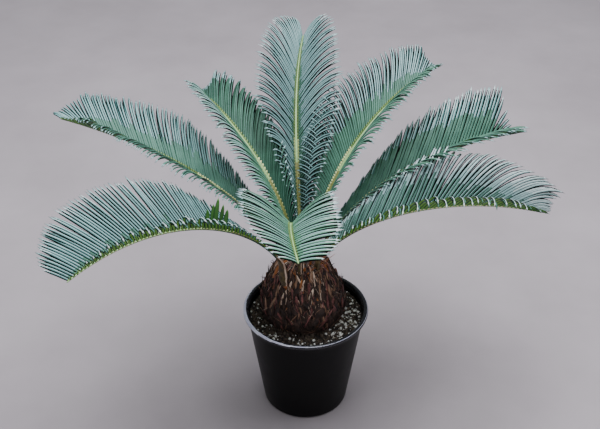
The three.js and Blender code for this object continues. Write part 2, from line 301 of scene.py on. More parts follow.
# Shares of the longest leaflet
FIRST_LENGTH = 0.12
LAST_LENGTH = 0.2
FULL_BREADTH = 0.6

# Shares of a leaflet's length, and how it narrows and bends
LEAFLET_PLACES = np.linspace(0, 1, 13) ** 1.2
FOOT_END = 0.12
POINT_START = 0.62
POINT_DRAW = 0.75
POINT_POWER = 1.8
SWEEP_BACK = 0.3
BEND_POWER = 1.6

# Half widths: in shares of the spacing, and the least and the foot's in shares of that
LEAFLET_SHARE = 0.58
LEAST_BREADTH = 0.45
FOOT_SHARE = 0.7
# How far out on the rib's radius a leaflet starts
ROOT_SHARE = 0.6

# How one leaflet differs from the next, as standard deviations
SPREAD = dict(place=0.0004, length=0.015, lean=0.7, vee=1.0, twist=3, bend=0.04, deep=0.04, pale=0.05)

# Each frond: the angle, radius and height of its root, its path's compass angle, rise, droop, the droop's
# power and turn, its length, longest leaflet and spacing, and where and how fast leaflets get that long. On
# its left and right: how much shorter the last ones are, their angle to the rib and above the blade's plane,
# how they sag and twist, how far their inner colours go and where their painted highlight line turns into the
# paler painted glint.
USUAL = dict(full=0.5, ramp=1.2, sag=(0.6, 0.6))
FRONDS = [
    dict(USUAL, name="frond_front_left", root=(225, 42, 336), path=(215, 70, 80, 0.74, 16), length=530,
         leaf=133, full=0.58, ramp=2.4, close=(0.5, 0.1), spacing=5.3,
         lean=((32, 50, 64, 68), (100, 76, 59, 61)), vee=((38, 50, 62), (0, 32, 55)), sag=(0.7, 0.6),
         louvre=(-20, 8), deep=((0, 0, 0), (0.12, 0.1, 0.1)), pale=(1.1, 0.75)),
    dict(USUAL, name="frond_left", root=(165, 34, 342), path=(166, 75, 68, 0.46, -2), length=522, leaf=138,
         close=(0.6, 0.4), spacing=5.2, lean=((52, 61, 80, 86), (39, 49, 44, 22)),
         vee=((38, 43, 51), (8, 31, 28)), louvre=(-14, 10), deep=((1, 1, 0.8), (0.4, 0.3, 0.15)),
         pale=(1.1, 0.86)),
    dict(USUAL, name="frond_back_left", root=(125, 30, 342), path=(134, 96, 104, 0.62, -18), length=446,
         leaf=137, close=(0.85, 0.8), spacing=7.2, lean=((24, 73, 96, 80), (22, 33, 34, 26)),
         vee=((34, 55, 61), (70, 20, 54)), louvre=(6, 0), deep=((0.5, 0.45, 0.3), (1, 1, 0.4)),
         pale=(0.8, 0.8)),
    dict(USUAL, name="frond_back", root=(92, 28, 342), path=(96, 61, 46, 0.7, -14), length=505, leaf=132,
         close=(0, 0), spacing=6.4, lean=((48, 66, 40, 26), (62, 58, 62, 40)),
         vee=((76, 59, 54), (70, 52, 58)), louvre=(12, 12), deep=((0.3, 0.05, 0), (0.35, 0.1, 0)),
         pale=((1.1, 0.8, 0.8), (1.1, 0.8, 0.8))),
    dict(USUAL, name="frond_back_right", root=(55, 28, 342), path=(48, 81, 78, 0.76, -5), length=492,
         leaf=146, close=(0.8, 0.9), spacing=5.4, lean=((68, 43, 32, 20), (38, 65, 92, 36)),
         vee=((0, 32, 38), (56, 53, 53)), louvre=(12, -5), deep=((0.6, 0.3, 0.1), (1, 1, 0.8)),
         pale=((1.1, 0.8, 0.72), 1.1)),
    dict(USUAL, name="frond_right_high", root=(20, 34, 342), path=(22, 80, 87, 0.5, 6), length=498,
         leaf=140, close=(0.9, 0.65), spacing=7.4, lean=((20, 40, 56, 18), (22, 56, 72, 46)),
         vee=((0, 48, 72), (56, 46, 46)), louvre=(10, -8), deep=((0.7, 0.5, 0.35), (1, 1, 0.8)),
         pale=(0.72, 1.1)),
    dict(USUAL, name="frond_right_low", root=(315, 36, 342), path=(357, 76, 94, 0.56, 12), length=474,
         leaf=148, close=(0.6, 0.7), spacing=6.4, lean=((24, 57, 36, 28), (42, 70, 91, 50)),
         vee=((50, 64, 84), (47, 52, 46)), sag=(1, 0.8), louvre=(10, -20),
         deep=((0.65, 0.4, 0.05), (0.3, 0, 0)), pale=(0.3, 1.1)),
    dict(USUAL, name="frond_front", root=(265, 26, 342), path=(259, 77, 80, 1, 22), length=425, leaf=113,
         close=(0, 0), spacing=7.2, lean=((44, 45, 58, 60), (38, 58, 76, 70)),
         vee=((53, 49, 39), (43, 44, 47)), louvre=(8, 8), deep=((0.2, 0.1, 0.1), (0.2, 0.1, 0.1)),
         pale=(0.7, 0.7)),
]

# A leaflet's section in half widths: rounded above with a sunk middle line, edges rolled down, a keel below
LEAFLET_RING = np.array([
    (1, -0.5), (0.5, -0.05), (0.25, 0.08), (0, 0.03), (-0.25, 0.08), (-0.5, -0.05), (-1, -0.5),
    (-0.55, -0.26), (0, -0.18), (0.55, -0.26),
])
UPPER_FACES = 6
# The upper faces that hold the painted highlight line: all along, and only past the inner colours
LINE_FACE = 4
OUTER_LINE_FACE = 3
# A leaflet whose painted highlight line turns into the paler painted glint before this ring has that painted
# glint on its tip
TIP_RING = 10

LEAF_LOOKS = [
    LEAF_UPPER, LEAF_DEEP, LEAF_UNDER, LEAF_FOOT, LEAF_TIP_GLINT, LEAF_MARGIN_SHADE,
    LEAF_PAINTED_HIGHLIGHT, LEAF_FRESH, LEAF_SHADE_GREEN, LEAF_HEEL, LEAF_GRASS,
]
UPPER, DEEP, UNDER, FOOT, TIP_GLINT, MARGIN_SHADE, PAINTED_HIGHLIGHT, FRESH, SHADE_GREEN, HEEL, GRASS = range(len(LEAF_LOOKS))

# A side's colours near the rib, further out, on the margins near the rib and on the ridges near the rib. The
# darkest green and the near-black margins are painted shade, and a lighter ridge is a painted highlight line.
USUAL_GREENS = (DEEP, UPPER, MARGIN_SHADE, FRESH)
SIDE_GREENS = {
    ("frond_front_left", -1): (DEEP, DEEP, SHADE_GREEN, DEEP),
    ("frond_left", -1): (DEEP, UPPER, SHADE_GREEN, DEEP),
    ("frond_left", 1): (DEEP, UPPER, DEEP, FRESH),
    ("frond_back_left", -1): (FRESH, FRESH, SHADE_GREEN, FRESH),
    # This side's inner part is painted shade
    ("frond_back_left", 1): (SHADE_GREEN, UPPER, MARGIN_SHADE, DEEP),
    ("frond_back_right", -1): (DEEP, UPPER, SHADE_GREEN, FRESH),
    ("frond_back_right", 1): (FRESH, FRESH, DEEP, FRESH),
    ("frond_right_high", 1): (FRESH, FRESH, DEEP, FRESH),
    # This side's outer part and ridges are painted highlight
    ("frond_right_low", -1): (DEEP, PAINTED_HIGHLIGHT, MARGIN_SHADE, PAINTED_HIGHLIGHT),
    ("frond_right_low", 1): (DEEP, DEEP, SHADE_GREEN, DEEP),
    ("frond_front", -1): (FRESH, FRESH, SHADE_GREEN, FRESH),
    ("frond_front", 1): (FRESH, FRESH, SHADE_GREEN, FRESH),
}
PALE_HEELS_END = 0.45
# The fronds whose painted-shade margins are more than one face broad
DARK_FACES = {"frond_back": 2, "frond_back_right": 2}
# The fronds with broader leaflets than LEAFLET_SHARE
BROAD_SHARES = {"frond_front": 0.7, "frond_front_left": 0.66}
# The sides with pale heels like a comb, where every second leaflet is shorter
COMBED = {("frond_front_left", -1), ("frond_right_low", 1)}
COMBED_SPACING = 7.4
COMBED_SHARE = 0.42
COMBED_FOOT = 0.45
COMBED_SHORTER = 0.8
# The few near leaflets that stand upright
UPRIGHT_FROND = "frond_front_left"
UPRIGHT_PLACES = (0.385, 0.405, 0.425, 0.44, 0.46)
UPRIGHT_LENGTHS = (40.0, 48.0, 58.0, 46.0, 36.0)
UPRIGHT_WIDTH = 5
UPRIGHT_FOOT = 0.5
UPRIGHT_SIDE = dict(lean=[[74] * 4], vee=[[100] * 3], sag=[0.1], louvre=[0])


def polar(slope, compass):
    return np.stack([np.cos(slope) * np.cos(compass), np.cos(slope) * np.sin(compass), np.sin(slope)], -1)


def walk_rib(frond):
    """Points of the rib and its three directions, in even steps from the root to the tip."""
    share = np.arange(RIB_STEPS + 1) / RIB_STEPS
    start, rise, droop, hook, turn = frond["path"]
    slope = np.radians(rise - droop * share ** hook)
    compass = np.radians(start + turn * share ** TURN_POWER)
    along = polar(slope, compass)
    stride = (along[1:] + along[:-1]) * frond["length"] / RIB_STEPS / 2
    angle, radius, height = frond["root"]
    angle = math.radians(angle)
    root = np.array([CROWN_SHIFT + radius * math.cos(angle), radius * math.sin(angle), height])
    point = root + np.concatenate([np.zeros((1, 3)), np.cumsum(stride, axis=0)])
    side = np.stack([np.sin(compass), -np.cos(compass), 0 * compass], -1)
    return point, along, side, np.cross(side, along)


def at(values, share):
    """Values along the rib at these shares of its length."""
    place = np.linspace(0, 1, len(values))
    return np.stack([np.interp(share, place, values[:, axis]) for axis in range(3)], -1)


def leaflet_length(frond, share, hand):
    """Leaflets are short near the stalk, longest at the middle and short again at the tip."""
    climb = np.clip((share - CLIMB_START) / (frond["full"] - CLIMB_START), 0, 1)
    fall = np.clip((share - FALL_START) / (1 - FALL_START), 0, 1)
    close = np.sqrt(np.clip((share - CLOSING_START) / (1 - CLOSING_START), 0, 1))
    rising = FIRST_LENGTH + (1 - FIRST_LENGTH) * np.sin(climb * math.pi / 2) ** frond["ramp"]
    falling = LAST_LENGTH + (1 - LAST_LENGTH) * (1 - fall ** 3) ** 0.5
    return frond["leaf"] * rising * (1 - frond["close"][hand > 0] * close) * falling


def leaflet_width(u, foot):
    """Half width along a leaflet: drawn in at its foot, even, then a short point."""
    foot = np.minimum(foot + (1 - foot) * u / FOOT_END, 1)
    point = np.clip((u - POINT_START) / (1 - POINT_START), 0, 1)
    return foot * (1 - POINT_DRAW * point ** POINT_POWER)


def rib_radius(share):
    return RIB_ROOT_RADIUS + (RIB_TIP_RADIUS - RIB_ROOT_RADIUS) * np.clip(share, 0, 1) ** TAPER_POWER


def rings_to(share):
    """The first ring past this share of a leaflet's length."""
    return np.searchsorted(LEAFLET_PLACES, share)


def leaflet_slots(hand, greens, line, deep, pale, heel, dark):
    """Each leaflet's looks, of LEAF_LOOKS: its side's greens, with painted shade on the rolled margins and
    beside them underneath, and a painted highlight line beside the margin that faces the frond's root, which
    turns into a painted glint near the tip."""
    inner, outer, dim, ridge = greens

    def slot_of(n, i, j, m):
        place = j if hand > 0 else UPPER_FACES - 1 - j
        near, far = i < deep[:, None], i >= pale[:, None]
        slots = np.where(near, inner, outer)
        # The painted highlight line: the ridge colour near the rib, the side's line colour further out and
        # the painted glint past where it turns pale
        bright = np.where(near, ridge, np.where(far, TIP_GLINT, line))
        slots = np.where((place == LINE_FACE) | ((place == OUTER_LINE_FACE) & ~near), bright, slots)
        # The rolled margins are painted shade: near-black past the inner colours, the side's margin colour
        # near the rib
        margin = (place < dark) | (place == UPPER_FACES - 1)
        slots = np.where(margin, np.where(near, dim, MARGIN_SHADE), slots)
        # The underside's faces beside the margins get painted shade
        below = np.where((j == UPPER_FACES) | (j == m - 1), SHADE_GREEN, UNDER)
        slots = np.where(j < UPPER_FACES, slots, below)
        slots = np.where(i == 0, heel[:, None], slots)
        # The pointed tip gets the painted glint where the line turns pale early enough
        tip = np.where(pale[:, None] < TIP_RING, TIP_GLINT, line) + np.zeros((1, m), int)
        return slots.ravel(), np.concatenate([tip, np.full((n, m - 2), FOOT)], axis=1).ravel()
    return slot_of


def upright_slots(n, i, j, m):
    """Grass green with painted shade on the margins, above and below."""
    margin = (j == 0) | (j == UPPER_FACES - 1) | (j == UPPER_FACES)
    slots = np.where(i == 0, FOOT, np.where(margin, SHADE_GREEN, GRASS))
    return np.tile(slots, n), np.full(n * (2 * m - 2), GRASS)


def leaflet_lines(frond, walk, share, hand, length, rng):
    """The leaflets' middle lines, which leave the rib and then bend down and back, and their breadths."""
    point, along, side, up = (at(values, share) for values in walk)
    along, side, up = unit(along), unit(side), unit(up)
    count = len(share)
    lean = np.interp(share, LEAN_PLACES, frond["lean"][hand > 0]) + rng.normal(0, SPREAD["lean"], count)
    vee = np.interp(share, VEE_PLACES, frond["vee"][hand > 0]) + rng.normal(0, SPREAD["vee"], count)
    lean, vee = np.radians(lean), np.radians(vee)
    start = (
        along * np.cos(lean)[:, None]
        + hand * side * (np.sin(lean) * np.cos(vee))[:, None]
        + up * (np.sin(lean) * np.sin(vee))[:, None]
    )
    middles = (LEAFLET_PLACES[1:] + LEAFLET_PLACES[:-1]) / 2
    bend = (middles ** BEND_POWER)[:, None] * rng.normal(1, SPREAD["bend"], count)[:, None, None]
    heading = unit(start[:, None] - SWEEP_BACK * bend * along[:, None] - frond["sag"][hand > 0] * bend * UP)
    steps = heading * np.diff(LEAFLET_PLACES)[:, None] * length[:, None, None]
    root = point + side * (hand * ROOT_SHARE * rib_radius(share))[:, None]
    lines = np.concatenate([root[:, None], root[:, None] + np.cumsum(steps, axis=1)], axis=1)
    twist = hand * np.radians(frond["louvre"][hand > 0] + rng.normal(0, SPREAD["twist"], count))[:, None]
    across = hand * along
    across = unit(across - (across * start).sum(-1, keepdims=True) * start)
    across = across * np.cos(twist) + np.cross(start, across) * np.sin(twist)
    return lines, across


def grow_side(pile, frond, walk, hand, rng):
    """Adds the leaflets of one side of a frond."""
    name = frond["name"]
    combed = (name, hand) in COMBED
    spacing = COMBED_SPACING if combed else frond["spacing"]
    count = int(frond["length"] * (LAST_LEAFLET - FIRST_LEAFLET) / spacing)
    share = np.linspace(FIRST_LEAFLET, LAST_LEAFLET, count) + rng.normal(0, SPREAD["place"], count)
    share = np.clip(share + hand * SIDE_STAGGER, 0, LAST_ROOT)
    length = leaflet_length(frond, share, hand) * rng.normal(1, SPREAD["length"], count)
    every_second = np.arange(count) % 2 == 0
    if combed:
        length *= np.where(every_second, 1, COMBED_SHORTER)
    lines, across = leaflet_lines(frond, walk, share, hand, length, rng)

    profile = leaflet_width(LEAFLET_PLACES[:-1], COMBED_FOOT if combed else FOOT_SHARE)
    breadth = COMBED_SHARE if combed else BROAD_SHARES.get(name, LEAFLET_SHARE)
    filled = LEAST_BREADTH + (1 - LEAST_BREADTH) * length / (FULL_BREADTH * frond["leaf"])
    widest = breadth * spacing * np.clip(filled, LEAST_BREADTH, 1)

    depth = np.interp(share, VEE_PLACES, frond["deep"][hand > 0])
    deep = rings_to(depth + rng.normal(0, SPREAD["deep"], count))
    paling = np.interp(share, VEE_PLACES, np.broadcast_to(frond["pale"][hand > 0], len(VEE_PLACES)))
    pale = np.maximum(deep + 2, rings_to(paling + rng.normal(0, SPREAD["pale"], count)))
    greens = SIDE_GREENS.get((name, hand), USUAL_GREENS)
    # Each leaflet's line is a painted highlight; on combed sides every second one has the painted glint and
    # the others none
    line = np.full((count, 1), PAINTED_HIGHLIGHT)
    if combed:
        line = np.where(every_second[:, None], TIP_GLINT, greens[1])
    heel = np.where(combed | (share < PALE_HEELS_END), FOOT, HEEL)
    slot_of = leaflet_slots(hand, greens, line, deep, pale, heel, DARK_FACES.get(name, 1))
    blades(pile, lines, across, widest[:, None] * profile, LEAFLET_RING, slot_of)


def stand_leaflets(pile, frond, walk, rng):
    """Adds leaflets that stand up from the near side of a frond and show their green undersides."""
    share, length = np.array(UPRIGHT_PLACES), np.array(UPRIGHT_LENGTHS)
    lines, across = leaflet_lines(dict(frond, **UPRIGHT_SIDE), walk, share, -1, length, rng)
    profile = UPRIGHT_WIDTH * leaflet_width(LEAFLET_PLACES[:-1], UPRIGHT_FOOT)
    blades(pile, lines, across, np.tile(profile, (len(share), 1)), LEAFLET_RING, upright_slots)


def grow_frond(frond, seed):
    rng = np.random.default_rng(seed)
    walk = walk_rib(frond)
    pile = Pile()
    for hand in (-1, 1):
        grow_side(pile, frond, walk, hand, rng)
    if frond["name"] == UPRIGHT_FROND:
        stand_leaflets(pile, frond, walk, rng)
    leaflets = pile.join("leaflets_" + frond["name"], LEAF_LOOKS)
    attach(leaflets, "root")
    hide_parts(frond["name"])
    rib = grow_rib(frond, walk)
    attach(rib, "root")


RIB_RINGS = 56
RIB_SIDES = 12
# How far the rib reaches into the crown, and how much it widens in this share of its length
ROOT_DEPTH = 26
ROOT_WIDENING = 3.5
WIDENING_END = 0.05
# The rib's height above and below its middle in radii, and its pointed end
RIB_RISE = 0.75
RIB_FALL = 0.95
RIB_POINT = 2
# Shares of its length that are stalk brown and olive, and where its underside gets painted shade
STALK_END = 0.08
OLIVE_END = 0.34
UNDERSIDE_FROM = -0.1
RIB_LOOKS = [RIB_SKIN, RIB_LOW, STALK_SKIN, LEAF_SHADE_GREEN]
RIB_SKIN_SLOT, RIB_LOW_SLOT, RIB_STALK_SLOT, RIB_SHADE_SLOT = range(len(RIB_LOOKS))


def grow_rib(frond, walk):
    """The rib, from its foot in the crown to its tip."""
    point, along, side, up = walk
    share = np.linspace(-ROOT_DEPTH / frond["length"], 1, RIB_RINGS)
    inside = np.clip(share, 0, 1)
    centre = at(point, inside) + unit(at(along, inside)) * (np.minimum(share, 0) * frond["length"])[:, None]
    side, up = unit(at(side, inside)), unit(at(up, inside))
    radius = rib_radius(share) + ROOT_WIDENING * np.clip(-share / WIDENING_END, 0, 1)
    angle = np.arange(RIB_SIDES) * 2 * math.pi / RIB_SIDES
    wide, tall = np.cos(angle), np.sin(angle) * np.where(np.sin(angle) > 0, RIB_RISE, RIB_FALL)
    grid = (
        centre[:, None]
        + side[:, None] * (wide * radius[:, None])[..., None]
        + up[:, None] * (tall * radius[:, None])[..., None]
    )
    points = np.concatenate([grid.reshape(-1, 3), centre[:1], centre[-1:] + unit(along[-1:]) * RIB_POINT])
    # Seen from the tip these rings run clockwise, so the faces are turned over
    i, j, quads = sleeve(RIB_RINGS, RIB_SIDES)
    quads, tris = quads[:, [0, 3, 2, 1]], caps(RIB_RINGS, RIB_SIDES)[:, [0, 2, 1]]
    slots = np.where(share[i] < OLIVE_END, RIB_LOW_SLOT, RIB_SKIN_SLOT)
    # The rib's underside gets painted shade
    under = np.sin(angle[j] + math.pi / RIB_SIDES) < UNDERSIDE_FROM
    slots = np.where(under, RIB_SHADE_SLOT, slots)
    slots = np.where(share[i] < STALK_END, RIB_STALK_SLOT, slots)
    ends = np.repeat([RIB_STALK_SLOT, RIB_SKIN_SLOT], RIB_SIDES)
    return piece("rib_" + frond["name"], points, quads, tris, slots, ends, RIB_LOOKS)


for number, each in enumerate(FRONDS):
    grow_frond(each, FROND_SEED + number)

# Pot

FOOT_RADIUS = 86
FOOT_ROUND = 7
WALL = 3
TOP_RADIUS = 117
INSIDE_RADIUS = TOP_RADIUS - WALL
RIM_RADIUS = 125
ROLL_RADIUS = 4.5
ROLL_CENTRE = RIM_RADIUS - ROLL_RADIUS
ROLL_HEIGHT = POT_HEIGHT - ROLL_RADIUS
WALL_TOP = POT_HEIGHT - 2 * ROLL_RADIUS
# How far round the foot's and the roll's arcs go, and in how many points
FOOT_ARC = (-90, -8, 8)
ROLL_ARC = (-80, 175, 22)
# The creases at the roll's foot, as steps from the wall's top
OUTER_CREASE = ((0, -1.2), (0.6, -0.2))
INNER_CREASE = ((0.8, 0), (0, -2))
POT_SIDES = 160
UNDERSIDE_RING = 60
OUTER_RINGS = 12
INNER_RINGS = 10
# The painted highlight streak on the rim: its middle, its least and further half width, and its broad side
SHINE_TURN = 52
SHINE_LEAST = 6
SHINE_MORE = 44
SHINE_COMPASS = 195
POT_LOOKS = [PLASTIC, RIM_PLASTIC_SHEEN, RIM_PAINTED_HIGHLIGHT]
WALL_SLOT, RIM_SHEEN_SLOT, RIM_HIGHLIGHT_SLOT = range(len(POT_LOOKS))


def arc(x, z, radius, first, last, steps):
    angle = np.radians(np.linspace(first, last, steps))
    return [(x + radius * math.cos(a), z + radius * math.sin(a)) for a in angle]


def inner_radius(height):
    return FOOT_RADIUS - WALL + (TOP_RADIUS - FOOT_RADIUS) * height / WALL_TOP


def between(a, b, steps):
    """Points between a and b, without either."""
    share = np.linspace(0, 1, steps + 2)[1:-1, None]
    return [tuple(p) for p in np.array(a) * (1 - share) + np.array(b) * share]


def shine_on_rim(points):
    """Slots for faces with their middles at these points: the wall, the rim with its painted sheen and the
    painted highlight streak on it.
    """
    radius = np.hypot(points[:, 0], points[:, 1])
    turn = np.degrees(np.arctan2(points[:, 2] - ROLL_HEIGHT, radius - ROLL_CENTRE))
    compass = np.arctan2(points[:, 1], points[:, 0])
    # The painted highlight streak is broadest on the side that faces SHINE_COMPASS
    broad = np.clip(np.cos(compass - math.radians(SHINE_COMPASS)), 0, 1) ** 2
    shining = np.abs(turn - SHINE_TURN) < SHINE_LEAST + SHINE_MORE * broad
    return np.where(points[:, 2] > WALL_TOP + 1, np.where(shining, RIM_HIGHLIGHT_SLOT, RIM_SHEEN_SLOT), WALL_SLOT)


def make_pot():
    foot = arc(FOOT_RADIUS - FOOT_ROUND, FOOT_ROUND, FOOT_ROUND, *FOOT_ARC)
    roll = arc(ROLL_CENTRE, ROLL_HEIGHT, ROLL_RADIUS, *ROLL_ARC)
    outer_crease = [(TOP_RADIUS + out, WALL_TOP + up) for out, up in OUTER_CREASE]
    inner_crease = [(INSIDE_RADIUS + out, WALL_TOP + up) for out, up in INNER_CREASE]
    inner_foot = (inner_radius(FOOT_ROUND), FOOT_ROUND)
    profile = [(0, 0), (UNDERSIDE_RING, 0), *foot]
    profile += between(foot[-1], (TOP_RADIUS, WALL_TOP), OUTER_RINGS)
    profile += [*outer_crease, *roll, *inner_crease]
    profile += between(inner_crease[-1], inner_foot, INNER_RINGS)
    profile += [inner_foot, (inner_radius(0) - FOOT_ROUND / 2, WALL), (0, WALL)]
    points, quads, tris = turned(profile, POT_SIDES)
    slots = shine_on_rim(points[quads].mean(1))
    pot = piece("pot_shell", points, quads, tris, slots, np.full(len(tris), WALL_SLOT), POT_LOOKS)
    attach(pot, "root")
    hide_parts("pot")


make_pot()

# Potting mix

MIX_SEED = 7
ROOT_SEED = 9
GAP = 0.3
SOIL_LEVEL = 208
SURFACE_LEVEL = SOIL_LEVEL - 1
SURFACE_EDGE = SOIL_LEVEL - 6
FOOT_SHIFT = -5
MIX_SIDES = 180
MIX_RINGS = 56
MIX_INNERMOST = 2
BANK_HEIGHT = 7
BANK_RADIUS = 62
BANK_BREADTH = 34
BANK_POWER = 1.5
# The surface's waves, and how they fade to the edge
MIX_WAVES = ((1.6, 34, 3, 0), (1.1, 13, 4, 0), (0.8, 6, 5, 0))
EDGE_RADIUS = 113
EDGE_BREADTH = 6
EDGE_ROUGHNESS = 0.3


def mix_height(points):
    """Height of the mix's surface, with a low bank round the trunk."""
    radius = np.hypot(points[..., 0] - FOOT_SHIFT, points[..., 1])
    bank = BANK_HEIGHT * np.clip(1 - (radius - BANK_RADIUS) / BANK_BREADTH, 0, 1) ** BANK_POWER
    rough = roughened(0, points, MIX_WAVES)
    edge = np.clip((EDGE_RADIUS - np.hypot(points[..., 0], points[..., 1])) / EDGE_BREADTH, 0, 1)
    return SURFACE_LEVEL + bank + rough * (EDGE_ROUGHNESS + (1 - EDGE_ROUGHNESS) * edge)


def make_mix():
    outer = inner_radius(SOIL_LEVEL) - GAP
    profile = [
        (0, WALL + GAP), (inner_radius(0) - FOOT_ROUND / 2 - 1, WALL + GAP),
        (inner_radius(FOOT_ROUND) - 1, FOOT_ROUND + GAP), (outer, SURFACE_EDGE),
    ]
    profile += [(r, SOIL_LEVEL) for r in np.linspace(outer, MIX_INNERMOST, MIX_RINGS)] + [(0, SOIL_LEVEL)]

    def shape(grid, angle):
        grid[..., 2] = np.where(grid[..., 2] > SURFACE_LEVEL, mix_height(grid), grid[..., 2])
        return grid

    points, quads, tris = turned(profile, MIX_SIDES, shape)
    points[-1, 2] = mix_height(points[-1:])[0]
    mix = piece("mix_body", points, quads, tris, np.zeros(len(quads)), np.zeros(len(tris)), [SOIL])
    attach(mix, "root")
    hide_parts("potting_mix")


# A ragged strip's section in half widths
STRIP_RING = np.array([(1, 0), (0.5, 0.5), (-0.5, 0.5), (-1, 0), (-0.4, -0.4), (0.4, -0.4)])
# A lump is an icosahedron with its corners pulled in and out by these shares
GOLDEN = (1 + 5 ** 0.5) / 2
LUMP_POINTS = unit(np.array([
    (-1, GOLDEN, 0), (1, GOLDEN, 0), (-1, -GOLDEN, 0), (1, -GOLDEN, 0), (0, -1, GOLDEN), (0, 1, GOLDEN),
    (0, -1, -GOLDEN), (0, 1, -GOLDEN), (GOLDEN, 0, -1), (GOLDEN, 0, 1), (-GOLDEN, 0, -1), (-GOLDEN, 0, 1),
], float))
LUMP_FACES = np.array([
    (0, 11, 5), (0, 5, 1), (0, 1, 7), (0, 7, 10), (0, 10, 11), (1, 5, 9), (5, 11, 4), (11, 10, 2), (10, 7, 6),
    (7, 1, 8), (3, 9, 4), (3, 4, 2), (3, 2, 6), (3, 6, 8), (3, 8, 9), (4, 9, 5), (2, 4, 11), (6, 2, 10),
    (8, 6, 7), (9, 8, 1),
])
LUMP_CORNERS = (0.7, 1.25)

# Bark bits: how many, between which radii, their half sizes, how uneven those are and their lift
BARK_BITS = [
    (1500, (66, 110), (1.2, 3.4), (0.5, 1.5), 0.3),
    (150, (70, 106), (3, 5.5), (0.4, 1.3), 0.6),
]
# Those banked against the trunk's foot
BANKED_BITS = (500, 70, 16, 8, 1.5, (1.8, 4), (0.5, 1.4))
# Groups of pale grains: the middle's angle, the spread, how many and how far out
GRAIN_GROUPS = [
    (-22, 22, 135, 92), (-78, 16, 46, 99), (-150, 30, 60, 94), (20, 30, 46, 98), (60, 120, 60, 95),
]
GRAIN_SPREAD = 12
GRAIN_RADII = (74, 109)
# A grain's half size: the least, and how much more and how unevenly the others have
GRAIN_LEAST = 1
GRAIN_MORE = 3.2
GRAIN_UNEVEN = (0.6, 1.3)
GRAIN_LIFT = 1.2

# Fine roots: the angle, its spread and how many at the right, and the angles and how many all round
ROOTS_AT_RIGHT = (-26, 16, 16)
ROOTS_AROUND = (-180, 180, 14)
ROOT_RADII = (76, 100)
ROOT_REACH = 108
ROOT_LENGTHS = (8, 22)
ROOT_WIDTHS = (0.35, 0.7)
ROOT_CURL = 2.2
ROOT_LIFT = 0.8
ROOT_ARCH = 2
ROOT_STEPS = 8


def lumps(pile, centres, sizes, rng):
    """Adds a small angular lump at each centre, with half sizes (n, 3) and any turn."""
    count, corners = len(centres), len(LUMP_POINTS)
    shape = LUMP_POINTS[None] * rng.uniform(*LUMP_CORNERS, (count, corners, 1)) * sizes[:, None]
    turn = unit(rng.normal(size=(count, 4)))
    w, x, y, z = turn.T
    rotation = np.stack([
        np.stack([1 - 2 * (y * y + z * z), 2 * (x * y - w * z), 2 * (x * z + w * y)], -1),
        np.stack([2 * (x * y + w * z), 1 - 2 * (x * x + z * z), 2 * (y * z - w * x)], -1),
        np.stack([2 * (x * z - w * y), 2 * (y * z + w * x), 1 - 2 * (x * x + y * y)], -1),
    ], -2)
    points = np.einsum("nij,npj->npi", rotation, shape) + centres[:, None]
    faces = LUMP_FACES + (np.arange(count) * corners)[:, None, None]
    pile.add(points.reshape(-1, 3), [], faces, np.zeros(0), np.zeros(count * len(LUMP_FACES)))


def on_mix(angle, radius, lift):
    """Points on the surface of the mix."""
    points = np.stack([radius * np.cos(angle), radius * np.sin(angle), 0 * radius], -1)
    points[:, 2] = mix_height(points) + lift
    return points


def scatter_bits(rng):
    """Bits of bark all over the mix, and a bank of them at the trunk's foot."""
    pile = Pile()
    for count, (nearest, furthest), sizes, uneven, lift in BARK_BITS:
        angle = rng.uniform(0, 2 * math.pi, count)
        radius = np.sqrt(rng.uniform(nearest ** 2, furthest ** 2, count))
        size = rng.uniform(*sizes, (count, 1)) * rng.uniform(*uneven, (count, 3))
        lumps(pile, on_mix(angle, radius, lift), size, rng)
    count, start, reach, lift, crowding, sizes, uneven = BANKED_BITS
    angle = rng.uniform(0, 2 * math.pi, count)
    out = rng.uniform(0, 1, count) ** crowding
    centres = on_mix(angle, start + reach * out, lift * (1 - out))
    centres[:, 0] += FOOT_SHIFT
    size = rng.uniform(*sizes, (count, 1)) * rng.uniform(*uneven, (count, 3))
    lumps(pile, centres, size, rng)
    return pile.join("bark_bits", [SOIL_BIT], smooth=False)


def scatter_grains(rng):
    """Pale grains in loose groups."""
    pile = Pile()
    for middle, spread, count, reach in GRAIN_GROUPS:
        angle = np.radians(rng.normal(middle, spread, count))
        radius = np.clip(rng.normal(reach, GRAIN_SPREAD, count), *GRAIN_RADII)
        more = GRAIN_MORE * rng.uniform(0, 1, (count, 1)) ** 3 * rng.uniform(*GRAIN_UNEVEN, (count, 3))
        lumps(pile, on_mix(angle, radius, GRAIN_LIFT), GRAIN_LEAST + more, rng)
    return pile.join("perlite_grains", [PERLITE], smooth=False)


